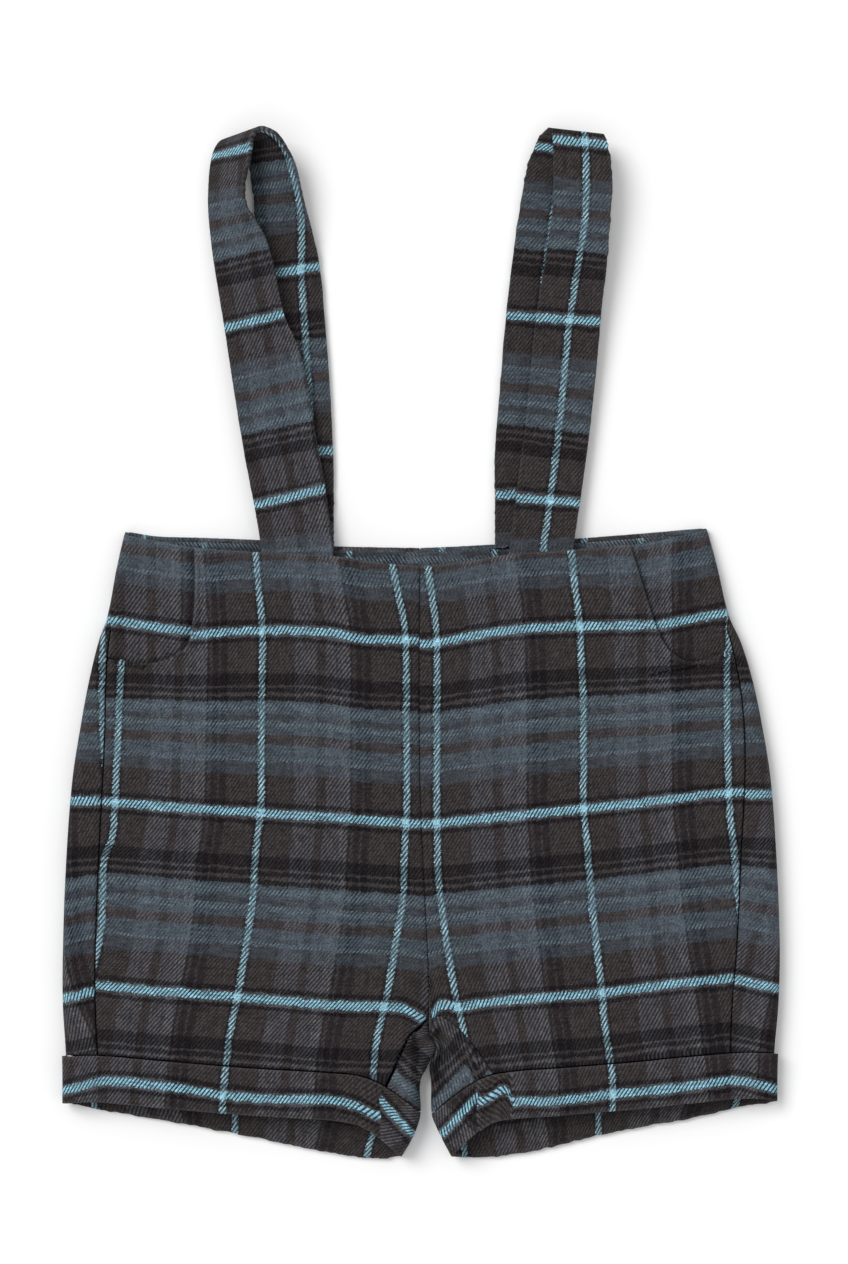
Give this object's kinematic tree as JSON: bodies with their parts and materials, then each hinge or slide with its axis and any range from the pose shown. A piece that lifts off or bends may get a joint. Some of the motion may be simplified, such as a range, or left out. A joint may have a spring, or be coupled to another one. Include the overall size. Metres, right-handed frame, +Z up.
{
  "type": "strap shorts",
  "caption": "Child's shorts with shoulder straps in brushed plaid flannel, laid flat with the front up: curved hip pockets, inseams turned to the front and doubled leg cuffs.",
  "frame": {"origin": "on the surface the garment lies on, under the middle of its outline", "axes": "+Y from the leg hems towards the straps, +X to the right of someone who looks down at the front, +Z up from the surface"},
  "size_m": [0.3075, 0.4438, 0.018],
  "materials": {
    "flannel": "brushed cotton flannel, dark plaid, matt",
    "facing": "brushed cotton flannel, dark plaid, matt",
    "cuff": "brushed cotton flannel, doubled, matt",
    "strap": "brushed cotton flannel, doubled, matt"
  },
  "bodies": {
    "root": {"front_left": "flannel", "front_right": "flannel", "pocket_facing_left": "facing", "pocket_facing_right": "facing", "back_left": "flannel", "back_right": "flannel", "cuff_left": "cuff", "cuff_right": "cuff", "strap_left": "strap", "strap_right": "strap", "back_waist_facing": "facing"}
  },
  "joints": []
}
